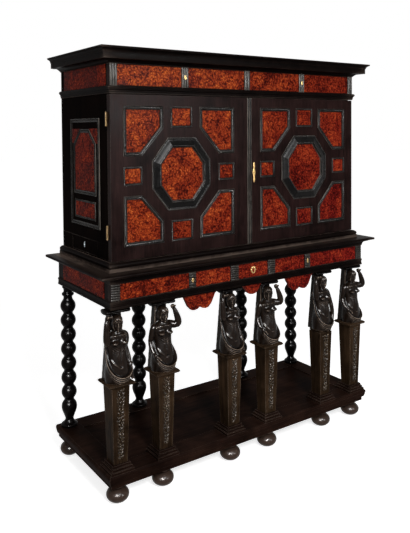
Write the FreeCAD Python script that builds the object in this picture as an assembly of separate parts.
import FreeCAD, Part
import math
import os

V = FreeCAD.Vector

# Cabinet on stand. Millimetres, +Z up, the front towards -Y.
# The origin is on the floor, under the middle of the stand top.

# Case
case_width = 1400.0
case_depth = 503.0
board = 25.0
back_board = 12.0
shelf_board = 14.0
rail_depth = 26.0
dust_board = 12.0
floor_board = 18.0

# Stand top and what shows beyond the case
slab_overhang = 84.0
slab_rear_overhang = 11.0
slab_edge = 12.0
slab_nosing = 8.0
slab_cove = 29.0
slab_cove_projection = 30.0

# Heights that stack up from the floor
foot_height = 78.0
under_rail_height = 20.0
platform_thickness = 38.0
plinth_step = 11.0
plinth_steps = 3
pedestal_height = 320.0
plate_thickness = 13.0
figure_height = 273.0
capital_height = 26.0
stand_frieze_height = 131.0
base_moulding_height = 36.0
door_height = 679.0
door_gap = 3.0
frieze_moulding_height = 31.0
frieze_height = 89.0
cornice_height = 63.0

# Running clearances
slide_gap = 0.3
front_gap = 1.2
leaf_gap = 0.5
bore_gap = 0.05
cut_over = 2.0
flat_limit = 0.0000001
turned_sides = 10

# Feet, platform and columns
foot_radius = 46.0
under_rail_inset = 14.0
platform_side_overhang = 46.0
platform_front_overhang = 56.0
platform_member = 96.0
platform_edge = 8.0
platform_board_sink = 5.0
column_end_margin = 61.0
column_inner_shares = [0.1475, 0.63]
leg_end_margin = 51.0
leg_inner_share = 0.433
leg_inset = 43.0
plinth_half = 52.0
plinth_draw = 6.0
pedestal_foot_half = 31.0
pedestal_head_half = 40.0
plate_half = 58.0
plate_bevel = 5.0
missing_plate = 4
capital_half_width = 58.0
capital_half_depth = 34.0

# Bobbin legs
leg_ball_radius = 35.0
leg_valley_radius = 22.5
leg_ball_pitch = 67.3
leg_balls = 7
leg_base_radius = 38.0
leg_base_height = 22.0
leg_vase_height = 106.0
leg_ring_radius = 27.0

# Stand frieze
stand_overhang = 41.0
stand_side_overhang = 25.0
stand_board = 25.0
stand_rail_low = 33.0
stand_post = 40.0
stand_divider = 44.0
stand_divider_place = 109.0
stand_floor_board = 14.0
runner_width = 40.0
inner_divider = 12.0
lower_moulding_height = 32.0
lower_moulding_projection = 6.0
pendant_place_share = 0.4055
pendant_half = 92.0
pendant_drop = 68.0
pendant_board = 16.0
centre_pendant_half = 58.0
centre_pendant_drop = 47.0

# Drawers
drawer_front = 22.0
drawer_side = 10.0
drawer_bottom = 8.0
drawer_bottom_rise = 4.0
drawer_side_drop = 8.0
facing = 3.0
block_rise = 3.0
block_half = 17.0
stand_key_share = 0.4662
centre_block_half = 15.0
corner_block = 32.0
side_drawer_depth = 400.0
side_drawer_front_y = 131.0
side_drawer_width = 258.0
side_drawer_height = 62.0
side_drawer_key_drop = 32.0

# Mouldings
base_projection = 20.0
frieze_projection = 12.0
cornice_projection = 67.0

# Doors
outer_stile = 58.0
meeting_margin = 77.0
top_margin = 46.0
bottom_margin = 55.0
corner_panel_width = 189.0
corner_panel_height = 207.0
corner_cut_width = 103.0
corner_cut_height = 113.0
end_panel_width = 110.0
end_panel_height = 90.0
side_panel_width = 88.0
side_panel_height = 77.0
octagon_half_width = 149.0
octagon_half_height = 156.0
octagon_flat_width = 142.0
octagon_flat_height = 116.0
octagon_rise = 13.0
octagon_frame = 43.0
border_width = 15.0
border_rise = 4.0
bead_width = 8.0
bead_rise = 3.0
pocket = 5.0
burl = 3.0
burl_bevel = 1.5
astragal_width = 24.0
astragal_rise = 6.0

# Hinges, lock and escutcheons
hinge_height = 58.0
hinge_leaf = 2.0
hinge_leaf_width = 20.0
hinge_radius = 4.5
hinge_pin_radius = 2.2
hinge_stand_off = 5.0
hinge_margin_top = 72.0
hinge_margin_bottom = 88.0
lock_width = 60.0
lock_height = 90.0
lock_depth = 14.0
escutcheon = 2.0
door_escutcheon_half_width = 8.0
door_escutcheon_half_height = 47.0
door_escutcheon_place = 40.0
door_escutcheon_rise = 331.0
drawer_escutcheon_half_width = 8.0
drawer_escutcheon_half_height = 13.0
centre_escutcheon_half_width = 17.0
centre_escutcheon_half_height = 18.0
key_radius = 2.6

# Side panels of the case
side_frame_front = 100.0
side_frame_width = 297.0
side_frame_height = 466.0
side_frame_rise = 121.0
side_border = 16.0
arch_half_width = 98.0
arch_height = 251.0
arch_flat_half = 39.0
arch_shoulder = 53.0
arch_rise_share = 0.33
tablet_height = 64.0
tablet_rise_share = 0.085
side_facing = 2.0
spandrel_gap = 2.0
stand_side_margin = 60.0
frieze_side_margin = 36.0

# Shelves
shelf_count = 2
shelf_inset = 30.0

# Levels
platform_low = foot_height + under_rail_height
platform_top = platform_low + platform_thickness
plinth_top = platform_top + plinth_steps * plinth_step
pedestal_top = plinth_top + pedestal_height
plate_top = pedestal_top + plate_thickness
figure_top = plate_top + figure_height
stand_low = figure_top + capital_height
slab_low = stand_low + stand_frieze_height
slab_top = slab_low + slab_edge
case_low = slab_top
base_top = case_low + base_moulding_height
door_low = base_top + door_gap
door_top = door_low + door_height
frieze_floor = door_top + door_gap
frieze_low = frieze_floor + frieze_moulding_height
frieze_top = frieze_low + frieze_height
cornice_top = frieze_top + cornice_height

# Places
half_width = case_width / 2
slab_half_width = half_width + slab_overhang
slab_depth = slab_overhang + case_depth + slab_rear_overhang
slab_front = -slab_depth / 2
slab_back = slab_depth / 2
case_front = slab_front + slab_overhang
case_back = case_front + case_depth
leaf_back = case_front + rail_depth
carcass_front = leaf_back + leaf_gap
column_line = case_front
leg_line = slab_back - leg_inset
stand_front = case_front - stand_overhang
stand_back = slab_back - slab_rear_overhang
stand_half_width = half_width + stand_side_overhang
stand_rail_back = stand_front + rail_depth
stand_drawer_low = stand_low + stand_rail_low
stand_drawer_top = slab_low - slab_cove
platform_half_width = half_width + platform_side_overhang
column_places = [share * platform_half_width for share in column_inner_shares]
column_places.append(platform_half_width - column_end_margin)
leg_places = [leg_inner_share * platform_half_width, platform_half_width - leg_end_margin]
pendant_place = pendant_place_share * stand_half_width
stand_key_place = stand_key_share * stand_half_width
platform_front = case_front - platform_front_overhang
platform_back = slab_back
case_floor_top = door_low + door_gap
housing_low = case_floor_top + side_drawer_height + door_gap
housing_top = housing_low + shelf_board
inner_half_width = half_width - board
hinge_x = half_width + hinge_stand_off
hinge_y = leaf_back + leaf_gap / 2


def box(x0, x1, y0, y1, z0, z1):
    """A block between two corners."""
    low = V(min(x0, x1), min(y0, y1), min(z0, z1))
    return Part.makeBox(abs(x1 - x0), abs(y1 - y0), abs(z1 - z0), low)


def mirrored(shape):
    """The same piece on the other side of the middle plane."""
    return shape.mirror(V(0, 0, 0), V(1, 0, 0))


def joined(shapes):
    """One solid from pieces that meet or overlap."""
    whole = shapes[0].multiFuse(shapes[1:]).removeSplitter()
    return whole.Solids[0]


def bowed(points, place, closed=True):
    """A wire through points; a third number bows the edge that ends there, as a share of its length."""
    pairs = list(zip(points, points[1:]))
    if closed:
        pairs.append((points[-1], points[0]))
    edges = []
    for start, end in pairs:
        first = place(start[0], start[1])
        last = place(end[0], end[1])
        bow = end[2] if len(end) > 2 else 0
        if bow:
            across = bow * (end[1] - start[1])
            along = bow * (end[0] - start[0])
            middle = place((start[0] + end[0]) / 2 + across, (start[1] + end[1]) / 2 - along)
            edges.append(Part.Arc(first, middle, last).toShape())
        else:
            edges.append(Part.makeLine(first, last))
    return Part.Wire(edges)


def scaled(shares, width, low, height):
    """Points of a share table at real size: width shares across, height shares up from low."""
    return [(entry[0] * width, low + entry[1] * height) + tuple(entry[2:]) for entry in shares]


def flat(corners):
    """One flat face between four corners, or two that meet on a diagonal."""
    a, b, c, d = corners
    normal = b.sub(a).cross(c.sub(a)).normalize()
    if abs(d.sub(a).dot(normal)) < flat_limit:
        return [Part.Face(Part.makePolygon(corners + corners[:1]))]
    return [Part.Face(Part.makePolygon([a, b, c, a])), Part.Face(Part.makePolygon([a, c, d, a]))]


def skinned(rings, closed=False):
    """A flat-faced solid through rings of as many corners each; closed runs from the last to the first."""
    pairs = list(zip(rings, rings[1:]))
    faces = []
    if closed:
        pairs.append((rings[-1], rings[0]))
    else:
        faces = [Part.Face(Part.makePolygon(ring + ring[:1])) for ring in (rings[0], rings[-1])]
    for low, high in pairs:
        for index in range(len(low)):
            faces += flat([low[index - 1], low[index], high[index], high[index - 1]])
    shell = Part.makeShell(faces)
    shell.sewShape()
    return Part.makeSolid(shell)


def turned(points, x, y):
    """A turned piece: (radius, height) points about an upright axis at x, y, in flat facets."""
    rings = []
    for radius, height in points:
        turns = [2 * math.pi * index / turned_sides for index in range(turned_sides)]
        rings.append([V(x + radius * math.cos(turn), y + radius * math.sin(turn), height) for turn in turns])
    return skinned(rings)


def run_round(points, side, front, back):
    """A moulding of (projection, height) points as three lengths, mitred at the front corners."""
    ends = [[V(-side - u, back, v) for u, v in points], [V(-side - u, front - u, v) for u, v in points],
            [V(side + u, front - u, v) for u, v in points], [V(side + u, back, v) for u, v in points]]
    return [skinned([first, last]) for first, last in zip(ends, ends[1:])]


def inset(points, distance):
    """An outline drawn in by the same distance on every edge; its corners run anticlockwise."""
    count = len(points)
    lines = []
    for index in range(count):
        (x0, y0), (x1, y1) = points[index], points[(index + 1) % count]
        length = math.hypot(x1 - x0, y1 - y0)
        normal = (-(y1 - y0) / length, (x1 - x0) / length)
        lines.append((normal, normal[0] * x0 + normal[1] * y0 + distance))
    corners = []
    for index in range(count):
        (a, b), c = lines[index - 1]
        (d, e), f = lines[index]
        spread = a * e - b * d
        corners.append(((c * e - b * f) / spread, (a * f - c * d) / spread))
    return corners


def on_front(face):
    """Places points of the front: across, up and out from the face."""
    return lambda u, v, out: V(u, face - out, v)


def on_left(face):
    """Places points of the left side: back, up and out from the face."""
    return lambda u, v, out: V(-face - out, u, v)


def on_top(face):
    """Places points of a level top: across, back and up from the face."""
    return lambda u, v, out: V(u, v, face + out)


def plate(points, place, low, high, slope=0):
    """A plate between two levels, its edges drawn in by slope at the high level."""
    return skinned([[place(u, v, low) for u, v in points],
                    [place(u, v, high) for u, v in inset(points, slope)]])


def frame_run(points, place, section):
    """A moulding mitred along an outline; its section lists (distance in, height) from the outer foot on."""
    return skinned([[place(u, v, rise) for u, v in inset(points, distance)] for distance, rise in section],
                   True)


def border(points, place, width, rise):
    """A flat frame on an outline, bevelled on both edges by as much as it stands up."""
    return frame_run(points, place, [(0, 0), (rise, rise), (width - rise, rise), (width, 0)])


def rectangle(u0, u1, v0, v1):
    """An outline between two corners, anticlockwise."""
    return [(u0, v0), (u1, v0), (u1, v1), (u0, v1)]


# Feet and platform
foot_shares = [(0.34, 0.0), (0.8, 0.12), (1.0, 0.4), (0.84, 0.68), (0.54, 0.82), (0.6, 1.0)]
capital_shares = [(-0.72, 0.0), (-0.6, 0.16), (0.6, 0.16), (0.72, 0.0), (0.88, 0.0), (0.97, 0.2), (1.0, 0.46),
                  (0.97, 0.72), (0.88, 0.92), (0.6, 1.0), (-0.6, 1.0), (-0.88, 0.92), (-0.97, 0.72),
                  (-1.0, 0.46), (-0.97, 0.2), (-0.88, 0.0)]
platform_edge_shares = [(0.0, 0.0), (0.2, 0.0), (0.8, 0.45), (0.8, 0.55), (1.0, 0.62), (1.0, 0.86),
                        (0.3, 1.0)]


def bun_feet():
    """Squashed ball feet, one under every column and leg."""
    feet = []
    profile = scaled(foot_shares, foot_radius, 0, foot_height)
    for places, line in ((column_places, column_line), (leg_places, leg_line)):
        for place in places:
            for side in (-1, 1):
                feet.append(turned(profile, side * place, line))
    return feet


def under_rails():
    """The plain boards on the feet, set back under the platform's moulded edge."""
    outer = -under_rail_inset
    inner = -platform_member
    points = [(inner, foot_height), (outer, foot_height), (outer, platform_low), (inner, platform_low)]
    boards = run_round(points, platform_half_width, platform_front, platform_back)
    side = platform_half_width + inner
    boards.append(box(-side, side, platform_back - platform_member, platform_back, foot_height, platform_low))
    return boards


def platform_frame():
    """Three mitred members with a moulded outer edge and a straight one at the back, on their boards."""
    side = platform_half_width - platform_edge
    front = platform_front + platform_edge
    inner = platform_edge - platform_member
    points = [(inner, platform_low)]
    points += scaled(platform_edge_shares, platform_edge, platform_low, platform_thickness)
    points += [(inner, platform_top)]
    members = run_round(points, side, front, platform_back)
    members.append(box(-side - inner, side + inner, platform_back - platform_member, platform_back,
                       platform_low, platform_top))
    return members + under_rails()


def platform_panel():
    """The sunk board that fills the frame."""
    half = platform_half_width - platform_member
    return [box(-half, half, platform_front + platform_member, platform_back - platform_member,
                platform_low + platform_board_sink, platform_top - platform_board_sink)]


def base_plinths():
    """Stepped square blocks under the carved columns."""
    blocks = []
    for place in column_places:
        for side in (-1, 1):
            steps = []
            for step in range(plinth_steps):
                half = plinth_half - step * plinth_draw
                low = platform_top + step * plinth_step
                steps.append(box(side * place - half, side * place + half, column_line - half,
                                 column_line + half, low, low + plinth_step))
            blocks.append(joined(steps))
    return blocks


def square(x, y, half):
    return rectangle(x - half, x + half, y - half, y + half)


def pedestals():
    """Square shafts that widen upwards."""
    shafts = []
    for place in column_places:
        for side in (-1, 1):
            x = side * place
            shaft = plate(square(x, column_line, pedestal_foot_half), on_top(plinth_top), 0,
                          pedestal_height, pedestal_foot_half - pedestal_head_half)
            shafts.append(shaft)
    return shafts


def figure_plates():
    """Thin square plates between pedestals and figures; one has been lost."""
    plates = []
    places = sorted(side * place for place in column_places for side in (-1, 1))
    for index, x in enumerate(places):
        half = plate_half
        if index == missing_plate:
            half = pedestal_head_half
        low = plate(square(x, column_line, half - plate_bevel), on_top(pedestal_top), 0,
                    plate_thickness / 2, -plate_bevel)
        high = plate(square(x, column_line, half), on_top(pedestal_top), plate_thickness / 2,
                     plate_thickness, plate_bevel)
        plates.append(joined([low, high]))
    return plates


def capitals():
    """Volute blocks above the figures: a flat band that ends in a scroll on each side."""
    blocks = []
    for place in column_places:
        for side in (-1, 1):
            outline = [(side * place + u * capital_half_width, figure_top + v * capital_height)
                       for u, v in capital_shares]
            blocks.append(plate(outline, on_front(column_line), -capital_half_depth, capital_half_depth))
    return blocks


# Carved figures. Rings of the body and head: height, half width, half depth and the sag at the front, as
# shares of the figure's height; the lowest rings are the ridges and hollows of the cloth.
body_shares = [(0.0, 0.185, 0.145, 0.0), (0.06, 0.2, 0.163, 0.03), (0.1, 0.187, 0.15, 0.05),
               (0.15, 0.202, 0.163, 0.075), (0.2, 0.186, 0.15, 0.1), (0.26, 0.196, 0.158, 0.13),
               (0.29, 0.17, 0.14, 0.12), (0.35, 0.165, 0.145, 0.05), (0.43, 0.145, 0.118, 0.0),
               (0.51, 0.15, 0.11, 0.0), (0.585, 0.165, 0.11, 0.0), (0.65, 0.168, 0.102, 0.0),
               (0.71, 0.15, 0.083, 0.0), (0.745, 0.09, 0.06, 0.0), (0.79, 0.05, 0.05, 0.0)]
head_shares = [(0.715, 0.034, 0.05, 0.0), (0.745, 0.058, 0.083, 0.0), (0.785, 0.078, 0.092, 0.0),
               (0.83, 0.089, 0.098, 0.0), (0.88, 0.097, 0.104, 0.0), (0.938, 0.085, 0.097, 0.0),
               (0.985, 0.046, 0.053, 0.0)]
# Where the carving swells or sinks: height, reach in height, tenths of a turn off the front, and depth.
swell_shares = [(0.585, 0.06, 1, 0.045), (0.585, 0.06, 0, -0.012), (0.35, 0.08, 0, 0.012),
                (0.83, 0.04, 0, 0.022), (0.88, 0.03, 1, -0.012), (0.745, 0.03, 0, 0.014),
                (0.88, 0.07, 3, 0.014), (0.88, 0.1, 4, 0.03)]
body_forward_share = 0.03
head_forward_share = 0.045
figure_sides = 10
limb_sides = 6
# Arms as upper arm and forearm, the raised one first: place across, back and up, and the radius, as shares
# of the figure's height. Three figures hold the raised elbow close to the block and three hold it out.
close_arm_shares = [
    [(0.1, 0.0, 0.7, 0.054), (0.15, -0.05, 0.65, 0.052), (0.185, -0.085, 0.605, 0.044)],
    [(0.186, -0.085, 0.58, 0.034), (0.19, -0.088, 0.65, 0.046), (0.188, -0.08, 0.8, 0.042),
     (0.178, -0.065, 0.93, 0.03), (0.165, -0.058, 0.965, 0.036), (0.165, -0.058, 1.0, 0.03)],
    [(-0.1, 0.0, 0.69, 0.054), (-0.165, 0.01, 0.6, 0.05), (-0.178, 0.06, 0.45, 0.04)],
    [(-0.178, 0.07, 0.44, 0.038), (-0.2, 0.03, 0.34, 0.036), (-0.21, -0.02, 0.27, 0.032),
     (-0.2, -0.06, 0.21, 0.034), (-0.19, -0.08, 0.16, 0.018)]]
wide_arm_shares = [
    [(0.1, 0.0, 0.7, 0.055), (0.17, -0.05, 0.675, 0.053), (0.235, -0.09, 0.675, 0.046)],
    [(0.245, -0.095, 0.63, 0.034), (0.247, -0.095, 0.7, 0.05), (0.222, -0.088, 0.82, 0.045),
     (0.18, -0.072, 0.935, 0.03), (0.165, -0.06, 0.967, 0.036), (0.165, -0.06, 1.0, 0.03)],
    [(-0.1, 0.0, 0.69, 0.054), (-0.16, 0.0, 0.6, 0.05), (-0.182, 0.02, 0.45, 0.042)],
    [(-0.182, 0.03, 0.44, 0.04), (-0.196, -0.02, 0.35, 0.038), (-0.195, -0.08, 0.28, 0.032),
     (-0.175, -0.12, 0.23, 0.034), (-0.15, -0.145, 0.18, 0.018)]]
# The plain block that the figure is carved from: half width, front and back at its foot and head.
block_shares = [(0.0, 0.16, -0.02, 0.175), (1.0, 0.1, 0.02, 0.125)]


def ring(height, across, deep, sag, forward):
    """One ring of the carving, about the axis and from the plate up."""
    corners = []
    for index in range(figure_sides):
        turn = 2 * math.pi * index / figure_sides
        swell = 0
        for centre, reach, place, out in swell_shares:
            if place in (index, figure_sides - index) or place == index == 0:
                swell += out * max(0, 1 - abs(height - centre) / reach)
        aside = (across + swell) * math.sin(turn)
        ahead = (deep + swell) * math.cos(turn) + forward
        level = height - sag * (1 + math.cos(turn)) / 2
        corners.append(V(aside, -ahead, level) * figure_height + V(0, 0, plate_top))
    return corners


def limb(shares):
    """Half an arm: six-cornered rings square to its run."""
    places = [V(*entry[:-1]) * figure_height + V(0, 0, plate_top) for entry in shares]
    rings = []
    for index, entry in enumerate(shares):
        run = places[min(index + 1, len(places) - 1)].sub(places[max(index - 1, 0)])
        side = run.cross(V(0, 1, 0)).normalize()
        front = side.cross(run).normalize()
        radius = entry[-1] * figure_height
        corners = []
        for step in range(limb_sides):
            turn = 2 * math.pi * step / limb_sides
            corners.append(places[index] + side * radius * math.cos(turn) + front * radius * math.sin(turn))
        rings.append(corners)
    return skinned(rings)


def carved_figure(arm_shares):
    """A draped half figure before its block, one arm raised to the capital and one at the hip."""
    body = skinned([ring(*entry, body_forward_share) for entry in body_shares])
    head = skinned([ring(*entry, head_forward_share) for entry in head_shares])
    ends = []
    for height, half, front, back in block_shares:
        level = plate_top + height * figure_height
        ends.append([V(u * figure_height, v * figure_height, level)
                     for u, v in rectangle(-half, half, front, back)])
    return joined([skinned(ends), body, head] + [limb(entry) for entry in arm_shares])


def caryatids():
    """Six figures from left to right; the raised arm is on the outer left, then right, in turn."""
    close = mirrored(carved_figure(close_arm_shares))
    wide = carved_figure(wide_arm_shares)
    figures = []
    for index, x in enumerate(sorted(side * place for place in column_places for side in (-1, 1))):
        carving = wide.copy() if index % 2 else close.copy()
        carving.translate(V(x, column_line, 0))
        figures.append(carving)
    return figures


# Turned legs
leg_foot_shares = [(1.0, 0.0), (1.0, 0.5), (0.72, 1.0)]
leg_vase_shares = [(0.53, 0.1), (0.86, 0.4), (1.0, 0.66), (0.86, 0.86)]
leg_ball_shares = [(0.97, 0.28), (0.97, 0.72)]
leg_head_shares = [(0.8, 0.2), (1.0, 0.33), (0.8, 0.46), (0.74, 0.72), (0.95, 0.84), (0.95, 1.0)]


def bobbin_leg(x):
    """A rear leg: moulded base, vase, a string of bobbins and a ringed neck."""
    base = platform_top
    vase_low = base + leg_base_height
    valley = vase_low + leg_vase_height
    points = scaled(leg_foot_shares, leg_base_radius, base, leg_base_height)
    points += scaled(leg_vase_shares, leg_ball_radius, vase_low, leg_vase_height)
    points.append((leg_valley_radius, valley))
    for _ in range(leg_balls):
        points += scaled(leg_ball_shares, leg_ball_radius, valley, leg_ball_pitch)
        valley += leg_ball_pitch
        points.append((leg_valley_radius, valley))
    points += scaled(leg_head_shares, leg_ring_radius, valley, stand_low - valley)
    return turned(points, x, leg_line)


# Stand frieze
def stand_front_frame():
    """Rails, corner posts and the two uprights between the drawers."""
    side = stand_half_width
    pieces = [box(-side, side, stand_front, stand_rail_back, stand_low, stand_drawer_low),
              box(-side, side, stand_front, stand_rail_back, stand_drawer_top, slab_low)]
    for hand in (-1, 1):
        pieces.append(box(hand * side, hand * (side - stand_post), stand_front, stand_rail_back,
                          stand_drawer_low, stand_drawer_top))
        centre = hand * stand_divider_place
        pieces.append(box(centre - stand_divider / 2, centre + stand_divider / 2, stand_front,
                          stand_rail_back, stand_drawer_low, stand_drawer_top))
    return pieces


def stand_carcass():
    """Sides, back, bottom board, dividers and drawer runners of the stand's frieze."""
    side = stand_half_width
    inner_back = stand_back - stand_board
    pieces = [box(-side, side, inner_back, stand_back, stand_low, slab_low),
              box(stand_board - side, side - stand_board, stand_rail_back, inner_back, stand_low,
                  stand_low + stand_floor_board)]
    for hand in (-1, 1):
        pieces.append(box(hand * side, hand * (side - stand_board), stand_rail_back, inner_back, stand_low,
                          slab_low))
        centre = hand * stand_divider_place
        pieces.append(box(centre - inner_divider / 2, centre + inner_divider / 2, stand_rail_back,
                          inner_back, stand_low + stand_floor_board, slab_low))
        for edge, inward in ((hand * (side - stand_board), -hand), (centre - inner_divider / 2, -1),
                             (centre + inner_divider / 2, 1)):
            pieces.append(box(edge, edge + inward * runner_width, stand_rail_back, inner_back,
                              stand_low + stand_floor_board, stand_drawer_low))
    return pieces


lower_moulding_shares = [(0.0, 0.0), (0.6, 0.0), (1.0, 0.08), (1.0, 0.24), (0.6, 0.32), (0.6, 0.68),
                         (1.0, 0.76), (1.0, 0.92), (0.6, 1.0), (0.0, 1.0)]
pendant_shares = [(-1.0, 0.0), (-0.88, -0.12), (-0.78, -0.4), (-0.66, -0.72), (-0.48, -0.96), (-0.32, -1.0),
                  (-0.14, -0.95), (0.0, -0.83), (0.14, -0.95), (0.32, -1.0), (0.48, -0.96), (0.66, -0.72),
                  (0.78, -0.4), (0.88, -0.12), (1.0, 0.0)]
centre_pendant_shares = [(-1.0, 0.0), (-0.86, -0.12), (-0.7, -0.42), (-0.5, -0.78), (-0.26, -0.96),
                         (0.0, -1.0), (0.26, -0.96), (0.5, -0.78), (0.7, -0.42), (0.86, -0.12), (1.0, 0.0)]
slab_edge_shares = [(0.0, 0.0), (0.5, 0.0), (1.0, 0.35), (1.0, 0.65), (0.5, 1.0), (0.0, 1.0)]
slab_cove_shares = [(0.0, 0.0), (0.1, 0.0), (0.12, 0.14), (0.22, 0.5), (0.45, 0.74), (0.85, 0.84),
                    (1.0, 0.86), (1.0, 1.0), (0.0, 1.0)]


def stand_lower_moulding():
    """The double bead along the bottom of the stand's frieze."""
    profile = scaled(lower_moulding_shares, lower_moulding_projection, stand_low, lower_moulding_height)
    return run_round(profile, stand_half_width, stand_front, stand_back)


def apron_pendants():
    """Scalloped boards under the frieze: two of two lobes, and one of a single lobe in the middle."""
    front = stand_front + lower_moulding_projection
    boards = []
    for shares, half, drop, centre in ((pendant_shares, pendant_half, pendant_drop, -pendant_place),
                                       (pendant_shares, pendant_half, pendant_drop, pendant_place),
                                       (centre_pendant_shares, centre_pendant_half, centre_pendant_drop, 0)):
        outline = [(centre + u * half, stand_low + v * drop) for u, v in shares]
        boards.append(plate(outline, on_front(front), -pendant_board, 0))
    return boards


def stand_top():
    """The slab on the stand with its rounded lipping, and the cove that carries it."""
    side = slab_half_width - slab_nosing
    front = slab_front + slab_nosing
    core = box(-side, side, front, slab_back, slab_low, slab_top)
    lipping = run_round(scaled(slab_edge_shares, slab_nosing, slab_low, slab_edge), side, front, slab_back)
    cove = run_round(scaled(slab_cove_shares, slab_cove_projection, stand_drawer_top, slab_cove),
                     stand_half_width, stand_front, stand_back)
    return [core] + lipping + cove


# Drawers
def drawer_box(x0, x1, front, back, low, high):
    """A drawer's wooden box: thick front, two sides, back and bottom, each its own piece."""
    side_top = high - drawer_side_drop
    inner_low = low - front_gap + slide_gap
    sides_from = front + drawer_front
    pieces = [box(x0, x1, front + facing, sides_from, low, high)]
    for start in (x0 + drawer_side / 2, x1 - drawer_side * 3 / 2):
        pieces.append(box(start, start + drawer_side, sides_from, back, inner_low, side_top))
    inner_x0 = x0 + drawer_side * 3 / 2
    inner_x1 = x1 - drawer_side * 3 / 2
    pieces.append(box(inner_x0, inner_x1, back - drawer_side, back, inner_low + drawer_bottom_rise, side_top))
    pieces.append(box(inner_x0, inner_x1, sides_from, back - drawer_side, inner_low + drawer_bottom_rise,
                      inner_low + drawer_bottom_rise + drawer_bottom))
    return pieces


key_plate_shares = [(0.0, -1.0), (0.5, -0.7), (0.4, -0.35), (1.0, 0.0), (0.4, 0.35), (0.5, 0.7), (0.0, 1.0),
                    (-0.5, 0.7), (-0.4, 0.35), (-1.0, 0.0), (-0.4, -0.35), (-0.5, -0.7)]
keyhole_shares = [(-0.5, -3.4), (0.5, -3.4), (0.5, -0.87), (1.0, 0.0), (0.5, 0.87), (-0.5, 0.87), (-1.0, 0.0),
                  (-0.5, -0.87)]


def key_plate(x, z, half_wide, half_high, place):
    """A shaped brass key plate with a keyhole through it."""
    outline = [(x + u * half_wide, z + v * half_high) for u, v in key_plate_shares]
    hole = [(x + u * key_radius, z + v * key_radius) for u, v in keyhole_shares]
    drill = plate(hole, place, -cut_over, escutcheon + cut_over)
    return plate(outline, place, 0, escutcheon).cut(drill).Solids[0]


def facing_plate(u0, u1, v0, v1, place):
    """A thin veneered tablet on a drawer front or rail."""
    return plate(rectangle(u0, u1, v0, v1), place, -facing, 0, burl_bevel)


frieze_drawer_x = (centre_block_half + front_gap / 2, half_width - corner_block - front_gap / 2)
frieze_key_place = (frieze_drawer_x[0] + frieze_drawer_x[1]) / 2
stand_side_drawer_x = (stand_divider_place + stand_divider / 2 + front_gap,
                       stand_half_width - stand_post - front_gap)
stand_centre_half = stand_divider_place - stand_divider / 2 - front_gap


def frieze_drawer():
    """The right drawer of the case's frieze: box, burl tablets, key block and plate."""
    x0, x1 = frieze_drawer_x
    low = frieze_low + front_gap
    high = frieze_top - front_gap
    back = case_back - back_board - front_gap
    wood = drawer_box(x0, x1, case_front, back, low, high)
    block = box(frieze_key_place - block_half, frieze_key_place + block_half, case_front - block_rise,
                case_front + facing, low, high)
    wood[0] = joined([wood[0], block])
    face = on_front(case_front)
    tablets = [facing_plate(x0, frieze_key_place - block_half, low, high, face),
               facing_plate(frieze_key_place + block_half, x1, low, high, face)]
    plate_piece = key_plate(frieze_key_place, (low + high) / 2, drawer_escutcheon_half_width,
                            drawer_escutcheon_half_height, on_front(case_front - block_rise))
    return wood, tablets, [plate_piece]


def stand_side_drawer():
    """The right drawer of the stand: box, burl tablets, key block and plate."""
    x0, x1 = stand_side_drawer_x
    low = stand_drawer_low + front_gap
    high = stand_drawer_top - front_gap
    back = stand_back - stand_board - front_gap
    wood = drawer_box(x0, x1, stand_front, back, low, high)
    block = box(stand_key_place - block_half, stand_key_place + block_half, stand_front - block_rise,
                stand_front + facing, low, high)
    wood[0] = joined([wood[0], block])
    face = on_front(stand_front)
    tablets = [facing_plate(x0, stand_key_place - block_half, low, high, face),
               facing_plate(stand_key_place + block_half, x1, low, high, face)]
    plate_piece = key_plate(stand_key_place, (low + high) / 2, drawer_escutcheon_half_width,
                            drawer_escutcheon_half_height, on_front(stand_front - block_rise))
    return wood, tablets, [plate_piece]


def stand_centre_drawer():
    """The small middle drawer of the stand with its fretted plate."""
    low = stand_drawer_low + front_gap
    high = stand_drawer_top - front_gap
    back = stand_back - stand_board - front_gap
    wood = drawer_box(-stand_centre_half, stand_centre_half, stand_front, back, low, high)
    face = on_front(stand_front)
    tablets = [facing_plate(-stand_centre_half, stand_centre_half, low, high, face)]
    plate_piece = key_plate(0, (low + high) / 2, centre_escutcheon_half_width,
                            centre_escutcheon_half_height, face)
    return wood, tablets, [plate_piece]


side_drawer_y = case_front + side_drawer_front_y
side_drawer_low = case_floor_top + front_gap
side_drawer_high = side_drawer_low + side_drawer_height - front_gap


def side_drawer():
    """A shallow drawer that pulls out of the case's left side, under the lowest shelf."""
    y0 = side_drawer_y
    y1 = y0 + side_drawer_width
    outer = -half_width
    inner = outer + side_drawer_depth
    low = case_floor_top + slide_gap
    top = side_drawer_high - drawer_side_drop
    front_back = outer + drawer_front
    pieces = [box(outer, front_back, y0, y1, side_drawer_low, side_drawer_high)]
    for start in (y0 + drawer_side / 2, y1 - drawer_side * 3 / 2):
        pieces.append(box(front_back, inner, start, start + drawer_side, low, top))
    inner_y0 = y0 + drawer_side * 3 / 2
    inner_y1 = y1 - drawer_side * 3 / 2
    bottom = low + drawer_bottom_rise
    pieces.append(box(inner - drawer_side, inner, inner_y0, inner_y1, bottom, top))
    pieces.append(box(front_back, inner - drawer_side, inner_y0, inner_y1, bottom, bottom + drawer_bottom))
    return pieces


def side_drawer_plate():
    key_z = side_drawer_low + side_drawer_key_drop
    return [key_plate(side_drawer_y + side_drawer_width / 2, key_z, drawer_escutcheon_half_width,
                      drawer_escutcheon_half_height, on_left(half_width))]


# Case
def hinge_levels():
    """Middles of the lower and upper hinge."""
    return (door_low + hinge_margin_bottom + hinge_height / 2, door_top - hinge_margin_top - hinge_height / 2)


def leaf_box(hand, y0, y1, level, grow=0):
    """The block that a hinge leaf fills, let into an edge."""
    outer = half_width + grow
    return box(hand * outer, hand * (half_width - hinge_leaf_width), y0, y1, level - hinge_height / 2,
               level + hinge_height / 2)


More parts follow.
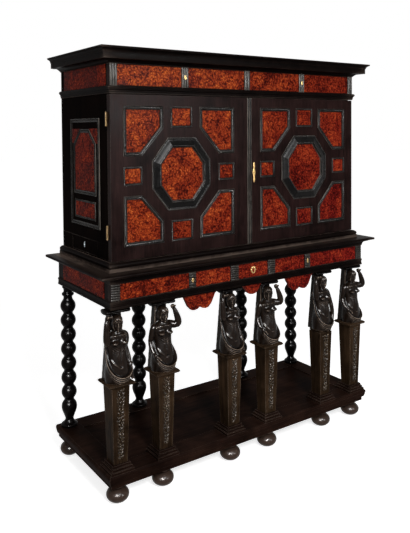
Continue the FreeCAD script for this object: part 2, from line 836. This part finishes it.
def case_carcass():
    """Sides, the left one built up round the drawer's mouth, floor, drawer housing, frieze floor and top."""
    pieces = []
    cornice_board = cornice_top - dust_board
    mouth_top = side_drawer_high + front_gap
    mouth_front = side_drawer_y - front_gap
    mouth_back = side_drawer_y + side_drawer_width + front_gap
    for hand, side_low in ((-1, mouth_top), (1, case_low)):
        side = box(hand * half_width, hand * inner_half_width, carcass_front, case_back, side_low,
                   cornice_board)
        for level in hinge_levels():
            side = side.cut(leaf_box(hand, carcass_front - cut_over, carcass_front + hinge_leaf, level,
                                     cut_over))
        pieces.append(side.Solids[0])
    pieces.append(box(-half_width, -inner_half_width, carcass_front, case_back, case_low, case_floor_top))
    for front, back in ((carcass_front, mouth_front), (mouth_back, case_back)):
        pieces.append(box(-half_width, -inner_half_width, front, back, case_floor_top, mouth_top))
    inner_back = case_back - back_board
    side = inner_half_width
    pieces.append(box(-side, side, carcass_front, inner_back, case_floor_top - floor_board, case_floor_top))
    pieces.append(box(-side, side, carcass_front, inner_back, housing_low, housing_top))
    pieces.append(box(-side, side, carcass_front, carcass_front + shelf_board, case_floor_top, housing_low))
    for edge in (mouth_front - shelf_board, mouth_back):
        pieces.append(box(-side, side_drawer_depth - half_width, edge, edge + shelf_board, case_floor_top,
                          housing_low))
    pieces.append(box(-side, side, carcass_front, inner_back, frieze_low - shelf_board, frieze_low))
    divider = centre_block_half - front_gap
    pieces.append(box(-divider, divider, carcass_front, inner_back, frieze_low, frieze_top))
    pieces.append(box(-half_width, half_width, case_front, case_back, cornice_board, cornice_top))
    return pieces


def case_back_board():
    side = inner_half_width
    return [box(-side, side, case_back - back_board, case_back, case_low, cornice_top - dust_board)]


def shelves():
    """Fixed shelves behind the doors."""
    pieces = []
    room = frieze_low - shelf_board - housing_top
    pitch = room / (shelf_count + 1)
    for index in range(shelf_count):
        low = housing_top + (index + 1) * pitch - shelf_board / 2
        pieces.append(box(-inner_half_width, inner_half_width, carcass_front + shelf_inset,
                          case_back - back_board, low, low + shelf_board))
    return pieces


base_moulding_shares = [(0.0, 0.0), (1.0, 0.0), (1.0, 0.42), (0.8, 0.5), (1.0, 0.6), (1.0, 0.8), (0.7, 0.92),
                        (0.35, 0.94), (0.0, 1.0)]
frieze_moulding_shares = [(0.0, 0.0), (0.35, 0.0), (0.35, 0.25), (0.6, 0.25), (0.6, 0.6), (1.0, 0.7),
                          (1.0, 0.9), (0.7, 1.0), (0.0, 1.0)]
cornice_shares = [(0.0, 0.0), (0.1, 0.0), (0.2, 0.12), (0.55, 0.2), (0.73, 0.24), (0.73, 0.6), (0.78, 0.64),
                  (0.78, 0.7), (0.85, 0.84), (0.96, 0.9), (1.0, 0.92), (1.0, 1.0), (0.0, 1.0)]


def base_moulding():
    """The torus and plain band round the foot of the case."""
    profile = scaled(base_moulding_shares, base_projection, case_low, base_moulding_height)
    return run_round(profile, half_width, case_front, case_back)


def base_rail():
    """The front rail behind the base moulding."""
    return box(-half_width, half_width, case_front, carcass_front, case_low, base_top)


def frieze_moulding():
    """The flat and bead between the doors and the frieze."""
    profile = scaled(frieze_moulding_shares, frieze_projection, frieze_floor, frieze_moulding_height)
    return run_round(profile, half_width, case_front, case_back)


def frieze_frame():
    """Rails above and below the frieze drawers, corner blocks and the middle block."""
    side = half_width
    pieces = [base_rail(),
              box(-side, side, case_front, carcass_front, frieze_floor, frieze_low),
              box(-side, side, case_front, carcass_front, frieze_top, cornice_top - dust_board),
              box(-centre_block_half, centre_block_half, case_front - block_rise, carcass_front, frieze_low,
                  frieze_top)]
    for hand in (-1, 1):
        pieces.append(box(hand * side, hand * (side - corner_block), case_front - block_rise, carcass_front,
                          frieze_low, frieze_top))
    return pieces


def cornice():
    """Cove, flat corona and top moulding, mitred round three sides."""
    profile = scaled(cornice_shares, cornice_projection, frieze_top, cornice_height)
    return run_round(profile, half_width, case_front, case_back)


# Panelling of the case's sides
def side_frame_box():
    y0 = case_front + side_frame_front
    z0 = base_top + side_frame_rise
    return y0, y0 + side_frame_width, z0, z0 + side_frame_height


def arch_outline():
    """The arched panel: a tablet whose top corners are cut."""
    y0, y1, z0, z1 = side_frame_box()
    centre = (y0 + y1) / 2
    low = z0 + arch_rise_share * side_frame_height
    high = low + arch_height
    shoulder = high - arch_shoulder
    return [(centre - arch_half_width, low), (centre + arch_half_width, low),
            (centre + arch_half_width, shoulder), (centre + arch_flat_half, high),
            (centre - arch_flat_half, high), (centre - arch_half_width, shoulder)]


def tablet_outline():
    y0, y1, z0, z1 = side_frame_box()
    centre = (y0 + y1) / 2
    low = z0 + tablet_rise_share * side_frame_height
    return rectangle(centre - arch_half_width, centre + arch_half_width, low, low + tablet_height)


def spandrel_outlines():
    """The two panels beside the arch's cut corners, inside the outer frame."""
    y0, y1, _, _ = side_frame_box()
    arch = inset(arch_outline(), -side_border - spandrel_gap)
    shoulder, top = arch[2], arch[3]
    edge = y1 - side_border - spandrel_gap
    right = [shoulder, (edge, shoulder[1]), (edge, top[1]), top]
    left = [(y0 + y1 - y, z) for y, z in right[::-1]]
    return [right, left]


def on_both_sides(shapes):
    return shapes + [mirrored(shape) for shape in shapes]


def side_mouldings():
    """Bevelled frames planted on the case's sides."""
    face = on_left(half_width)
    y0, y1, z0, z1 = side_frame_box()
    outer = border(rectangle(y0, y1, z0, z1), face, side_border, border_rise)
    arch = border(inset(arch_outline(), -side_border), face, side_border, border_rise)
    tablet = border(inset(tablet_outline(), -bead_width), face, bead_width, bead_rise)
    return on_both_sides([outer, arch, tablet])


def side_burl_panels():
    """Burl on the case's sides, on the frieze's ends and on the stand's ends."""
    face = on_left(half_width)
    arch = plate(arch_outline(), face, 0, side_facing, burl_bevel)
    tablet = plate(tablet_outline(), face, 0, side_facing, burl_bevel)
    frieze = plate(rectangle(case_front + frieze_side_margin, case_back - frieze_side_margin, frieze_low,
                             frieze_top), face, 0, side_facing, burl_bevel)
    stand_face = on_left(stand_half_width)
    stand = plate(rectangle(stand_front + stand_side_margin, stand_back - stand_side_margin,
                            stand_drawer_low, stand_drawer_top), stand_face, 0, side_facing, burl_bevel)
    spandrels = [plate(outline, face, 0, side_facing, burl_bevel) for outline in spandrel_outlines()]
    return on_both_sides([arch, tablet, frieze, stand] + spandrels)


# Doors. The right leaf is drawn; the left one is its mirror.
leaf_x0 = leaf_gap
leaf_x1 = half_width
field_x0 = meeting_margin
field_x1 = half_width - outer_stile
field_z0 = door_low + bottom_margin
field_z1 = door_top - top_margin
field_x = (field_x0 + field_x1) / 2
field_z = (field_z0 + field_z1) / 2


def corner_outline(side, up):
    """A corner panel: a rectangle whose inner corner is cut along the octagon."""
    x = field_x0 if side < 0 else field_x1
    z = field_z0 if up < 0 else field_z1
    inner_x = x - side * corner_panel_width
    inner_z = z - up * corner_panel_height
    cut_x = inner_x + side * corner_cut_width
    cut_z = inner_z + up * corner_cut_height
    points = [(x, z), (inner_x, z), (inner_x, cut_z), (cut_x, inner_z), (x, inner_z)]
    return points if side * up > 0 else points[::-1]


def small_outlines():
    """Tablets above, below and beside the octagon."""
    outlines = []
    for up in (-1, 1):
        edge = field_z0 if up < 0 else field_z1
        far = edge - up * end_panel_height
        outlines.append(rectangle(field_x - end_panel_width / 2, field_x + end_panel_width / 2,
                                  min(edge, far), max(edge, far)))
    for side in (-1, 1):
        edge = field_x0 if side < 0 else field_x1
        far = edge - side * side_panel_width
        outlines.append(rectangle(min(edge, far), max(edge, far), field_z - side_panel_height / 2,
                                  field_z + side_panel_height / 2))
    return outlines


def octagon_outline():
    half_flat_x = octagon_flat_width / 2
    half_flat_z = octagon_flat_height / 2
    corners = [(octagon_half_width, -half_flat_z), (octagon_half_width, half_flat_z),
               (half_flat_x, octagon_half_height), (-half_flat_x, octagon_half_height),
               (-octagon_half_width, half_flat_z), (-octagon_half_width, -half_flat_z),
               (-half_flat_x, -octagon_half_height), (half_flat_x, -octagon_half_height)]
    return [(field_x + u, field_z + v) for u, v in corners]


def corner_outlines():
    return [corner_outline(side, up) for side in (-1, 1) for up in (-1, 1)]


def door_frame():
    """The leaf: a thick board with pockets for the burl and for the hinge leaves."""
    leaf = box(leaf_x0, leaf_x1, case_front, leaf_back, door_low, door_top)
    face = on_front(case_front)
    cutters = []
    for outline in corner_outlines():
        cutters.append(plate(inset(outline, border_width), face, -pocket, cut_over))
    for outline in small_outlines():
        cutters.append(plate(inset(outline, bead_width), face, -pocket, cut_over))
    for level in hinge_levels():
        cutters.append(leaf_box(1, leaf_back - hinge_leaf, leaf_back + cut_over, level, cut_over))
    for cutter in cutters:
        leaf = leaf.cut(cutter)
    return [leaf.Solids[0]]


# The octagon frame's section: distance in and height, as shares of its width and rise.
octagon_shares = [(0.0, 0.0), (0.0, 0.18), (0.05, 0.28), (0.12, 0.28), (0.17, 0.2), (0.27, 0.23),
                  (0.75, 0.82), (0.82, 1.0), (0.9, 0.93), (0.96, 0.68), (1.0, 0.6), (1.0, 0.0)]


def door_mouldings():
    """Bevelled borders round the panels and the raised octagon frame."""
    face = on_front(case_front)
    pieces = [border(outline, face, border_width, border_rise) for outline in corner_outlines()]
    pieces += [border(outline, face, bead_width, bead_rise) for outline in small_outlines()]
    section = [(distance * octagon_frame, rise * octagon_rise) for distance, rise in octagon_shares]
    return pieces + [frame_run(octagon_outline(), face, section)]


def door_burl():
    """Nine burl panels to a leaf."""
    face = on_front(case_front)
    pieces = []
    for outline in corner_outlines():
        pieces.append(plate(inset(outline, border_width), face, -pocket, burl - pocket, burl_bevel))
    for outline in small_outlines():
        pieces.append(plate(inset(outline, bead_width), face, -pocket, burl - pocket, burl_bevel))
    pieces.append(plate(inset(octagon_outline(), octagon_frame), face, 0, burl, burl_bevel))
    return pieces


def astragal():
    """The double-beaded strip on the right leaf's meeting edge."""
    x1 = leaf_x0 + astragal_width
    shares = [(0.0, 0.0), (0.0, 0.7), (0.36, 0.7, -0.4), (0.42, 0.4), (0.58, 0.4), (0.64, 0.7),
              (1.0, 0.7, -0.4), (1.0, 0.0)]
    points = [(leaf_x0 + share[0] * (x1 - leaf_x0), case_front - share[1] * astragal_rise) + tuple(share[2:])
              for share in shares]
    wire = bowed(points, lambda u, v: V(u, v, door_low))
    return Part.Face(wire).extrude(V(0, 0, door_height))


def door_escutcheon():
    z = door_low + door_escutcheon_rise
    return [key_plate(door_escutcheon_place, z, door_escutcheon_half_width, door_escutcheon_half_height,
                      on_front(case_front))]


def door_lock():
    """The lock case on the back of the right leaf."""
    z = door_low + door_escutcheon_rise
    return [box(leaf_x0 + facing, leaf_x0 + facing + lock_width, leaf_back, leaf_back + lock_depth,
                z - lock_height / 2, z + lock_height / 2)]


def hinge_parts():
    """For the right side: fixed leaves with a lower knuckle and the pin, moving leaves with an upper one."""
    fixed = []
    moving = []
    for level in hinge_levels():
        foot = level - hinge_height / 2
        head = level + hinge_height / 2
        pin = Part.makeCylinder(hinge_pin_radius, hinge_height - slide_gap, V(hinge_x, hinge_y, foot))
        leaf_front = carcass_front + hinge_leaf
        fixed.append(joined([pin, leaf_box(1, carcass_front, leaf_front, level),
                             turned([(hinge_radius, foot), (hinge_radius, level)], hinge_x, hinge_y),
                             box(half_width, hinge_x, carcass_front, leaf_front, foot, level)]))
        low = level + slide_gap
        swing = joined([leaf_box(1, leaf_back - hinge_leaf, leaf_back, level),
                        turned([(hinge_radius, low), (hinge_radius, head)], hinge_x, hinge_y),
                        box(half_width, hinge_x, leaf_back - hinge_leaf, leaf_back, low, head)])
        bore = Part.makeCylinder(hinge_pin_radius + bore_gap, head - foot, V(hinge_x, hinge_y, foot))
        moving.append(swing.cut(bore).Solids[0])
    return fixed, moving


def nodes():
    """Every node by name, as a list of solids."""
    parts = {
        "bun_feet": bun_feet(),
        "platform_frame": platform_frame(),
        "platform_board": platform_panel(),
        "base_plinths": base_plinths(),
        "pedestals": pedestals(),
        "figure_plates": figure_plates(),
        "capitals": capitals(),
        "stand_front_frame": stand_front_frame(),
        "stand_carcass": stand_carcass(),
        "stand_lower_moulding": stand_lower_moulding(),
        "apron_pendants": apron_pendants(),
        "stand_top": stand_top(),
        "case_carcass": case_carcass(),
        "case_back_board": case_back_board(),
        "shelves": shelves(),
        "base_moulding": base_moulding(),
        "frieze_frame": frieze_frame(),
        "frieze_moulding": frieze_moulding(),
        "cornice": cornice(),
        "side_mouldings": side_mouldings(),
        "side_burl_panels": side_burl_panels(),
        "side_drawer": side_drawer(),
        "side_drawer_escutcheon": side_drawer_plate(),
    }
    for index, place in enumerate(sorted(side * place for place in leg_places for side in (-1, 1))):
        parts["bobbin_leg_%d" % (index + 1)] = [bobbin_leg(place)]
    for index, figure in enumerate(caryatids()):
        parts["caryatid_%d" % (index + 1)] = [figure]
    fixed, moving = hinge_parts()
    parts["hinge_fixed_leaves"] = on_both_sides(fixed)
    pairs = {"door_frame": door_frame(), "door_mouldings": door_mouldings(), "door_burl": door_burl(),
             "door_hinges": moving}
    for name, solids in pairs.items():
        parts["left_" + name] = [mirrored(solid) for solid in solids]
        parts["right_" + name] = solids
    parts["right_door_mouldings"] = parts["right_door_mouldings"] + [astragal()]
    parts["door_escutcheon"] = door_escutcheon()
    parts["door_lock"] = door_lock()
    for name, drawer in (("frieze_drawer", frieze_drawer()), ("stand_drawer", stand_side_drawer())):
        for suffix, solids in zip(("", "_burl", "_escutcheon"), drawer):
            parts[name + "_left" + suffix] = [mirrored(solid) for solid in solids]
            parts[name + "_right" + suffix] = solids
    for suffix, solids in zip(("", "_burl", "_escutcheon"), stand_centre_drawer()):
        parts["stand_drawer_centre" + suffix] = solids
    return parts


def main():
    os.makedirs("parts", exist_ok=True)
    for name, solids in nodes().items():
        shape = solids[0] if len(solids) == 1 else Part.makeCompound(solids)
        shape.exportStep(os.path.join("parts", name + ".step"))


main()
